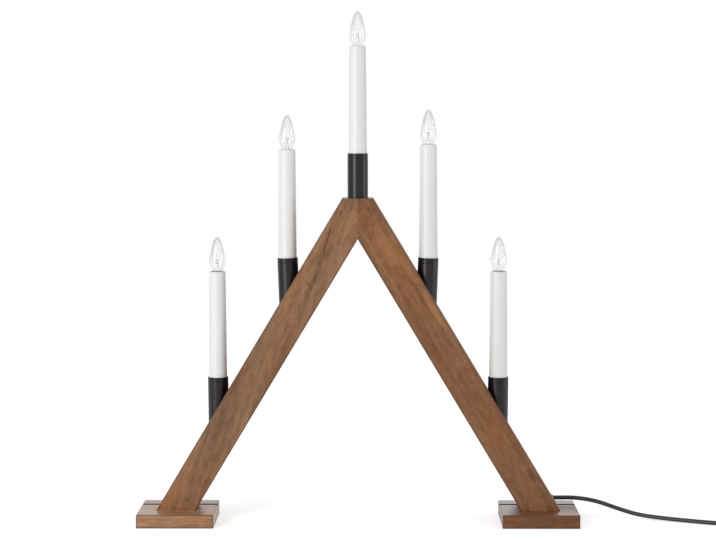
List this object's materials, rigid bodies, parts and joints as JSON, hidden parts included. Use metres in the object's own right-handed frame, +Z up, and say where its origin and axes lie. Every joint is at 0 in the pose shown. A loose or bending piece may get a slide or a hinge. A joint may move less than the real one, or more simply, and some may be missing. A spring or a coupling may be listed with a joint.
{
  "type": "candle arch",
  "caption": "Wooden inverted-V candle arch on square feet, with electric candles in black sleeves stepping down along both beams, and a mains cord with a flat plug.",
  "frame": {"origin": "on the floor, under the middle of the arch and midway between the front and back edges of the feet", "axes": "+Z up, +X to the right seen from the front, the front faces -Y"},
  "size_m": [0.6815, 0.0832, 0.4744],
  "materials": {
    "beam_wood": "satin",
    "foot_wood": "satin",
    "cover_wood": "matte",
    "dowel_wood": "matte",
    "sleeve_black": "satin",
    "screw_steel": "satin",
    "candle_plastic": "satin",
    "socket_plastic": "matte",
    "brass": "satin",
    "solder": "satin",
    "bulb_glass": "gloss",
    "filament_wire": "satin",
    "wire_sheath": "matte",
    "terminal_plastic": "matte",
    "clamp_plastic": "matte",
    "cord_sheath": "satin",
    "tie_strap": "matte",
    "plug_plastic": "satin",
    "pin_nickel": "polished"
  },
  "bodies": {
    "arch": {"back_screws": "screw_steel", "candle_tube_lower_left": "candle_plastic", "candle_tube_lower_right": "candle_plastic", "candle_tube_top": "candle_plastic", "candle_tube_upper_left": "candle_plastic", "candle_tube_upper_right": "candle_plastic", "coil_tie": "tie_strap", "cord_clamp": "clamp_plastic", "cord_coil": "cord_sheath", "foot_screws": "screw_steel", "lamp_wires": "wire_sheath", "left_beam": "beam_wood", "left_channel_cover": "cover_wood", "left_foot": "foot_wood", "mains_cord": "cord_sheath", "mitre_dowels": "dowel_wood", "plug_body": "plug_plastic", "plug_pins": "pin_nickel", "return_wire": "wire_sheath", "right_beam": "beam_wood", "right_channel_cover": "cover_wood", "right_foot": "foot_wood", "sleeve_lower_left": "sleeve_black", "sleeve_lower_right": "sleeve_black", "sleeve_screws": "screw_steel", "sleeve_top": "sleeve_black", "sleeve_upper_left": "sleeve_black", "sleeve_upper_right": "sleeve_black", "socket_body_lower_left": "socket_plastic", "socket_body_lower_right": "socket_plastic", "socket_body_top": "socket_plastic", "socket_body_upper_left": "socket_plastic", "socket_body_upper_right": "socket_plastic", "socket_contacts": "brass", "socket_shell_lower_left": "brass", "socket_shell_lower_right": "brass", "socket_shell_top": "brass", "socket_shell_upper_left": "brass", "socket_shell_upper_right": "brass", "terminal_block": "terminal_plastic"},
    "bulb_lower_left": {"bulb_glass_lower_left": "bulb_glass", "bulb_cap_lower_left": "brass", "bulb_filament_lower_left": "filament_wire"},
    "tip_lower_left": {"bulb_tip_lower_left": "solder"},
    "bulb_upper_left": {"bulb_glass_upper_left": "bulb_glass", "bulb_cap_upper_left": "brass", "bulb_filament_upper_left": "filament_wire"},
    "tip_upper_left": {"bulb_tip_upper_left": "solder"},
    "bulb_top": {"bulb_glass_top": "bulb_glass", "bulb_cap_top": "brass", "bulb_filament_top": "filament_wire"},
    "tip_top": {"bulb_tip_top": "solder"},
    "bulb_upper_right": {"bulb_glass_upper_right": "bulb_glass", "bulb_cap_upper_right": "brass", "bulb_filament_upper_right": "filament_wire"},
    "tip_upper_right": {"bulb_tip_upper_right": "solder"},
    "bulb_lower_right": {"bulb_glass_lower_right": "bulb_glass", "bulb_cap_lower_right": "brass", "bulb_filament_lower_right": "filament_wire"},
    "tip_lower_right": {"bulb_tip_lower_right": "solder"}
  },
  "joints": [
    {"name": "lift_lower_left", "type": "slide", "parent": "arch", "child": "tip_lower_left", "axis": [0, 0, 1], "range_m": [0, 0.00726]},
    {"name": "turn_lower_left", "type": "hinge", "parent": "tip_lower_left", "child": "bulb_lower_left", "pos_m": [-0.1306, 0, 0.23465], "axis": [0, 0, 1], "range_deg": [0, 1440]},
    {"name": "lift_upper_left", "type": "slide", "parent": "arch", "child": "tip_upper_left", "axis": [0, 0, 1], "range_m": [0, 0.00726]},
    {"name": "turn_upper_left", "type": "hinge", "parent": "tip_upper_left", "child": "bulb_upper_left", "pos_m": [-0.0653, 0, 0.34737], "axis": [0, 0, 1], "range_deg": [0, 1440]},
    {"name": "lift_top", "type": "slide", "parent": "arch", "child": "tip_top", "axis": [0, 0, 1], "range_m": [0, 0.00726]},
    {"name": "turn_top", "type": "hinge", "parent": "tip_top", "child": "bulb_top", "pos_m": [0, 0, 0.4425], "axis": [0, 0, 1], "range_deg": [0, 1440]},
    {"name": "lift_upper_right", "type": "slide", "parent": "arch", "child": "tip_upper_right", "axis": [0, 0, 1], "range_m": [0, 0.00726]},
    {"name": "turn_upper_right", "type": "hinge", "parent": "tip_upper_right", "child": "bulb_upper_right", "pos_m": [0.0653, 0, 0.35207], "axis": [0, 0, 1], "range_deg": [0, 1440]},
    {"name": "lift_lower_right", "type": "slide", "parent": "arch", "child": "tip_lower_right", "axis": [0, 0, 1], "range_m": [0, 0.00726]},
    {"name": "turn_lower_right", "type": "hinge", "parent": "tip_lower_right", "child": "bulb_lower_right", "pos_m": [0.1306, 0, 0.23465], "axis": [0, 0, 1], "range_deg": [0, 1440]}
  ],
  "couplings": [
    {"joint": "lift_lower_left", "follows": "turn_lower_left", "m_per_rad": 0.00028875},
    {"joint": "lift_upper_left", "follows": "turn_upper_left", "m_per_rad": 0.00028875},
    {"joint": "lift_top", "follows": "turn_top", "m_per_rad": 0.00028875},
    {"joint": "lift_upper_right", "follows": "turn_upper_right", "m_per_rad": 0.00028875},
    {"joint": "lift_lower_right", "follows": "turn_lower_right", "m_per_rad": 0.00028875}
  ]
}
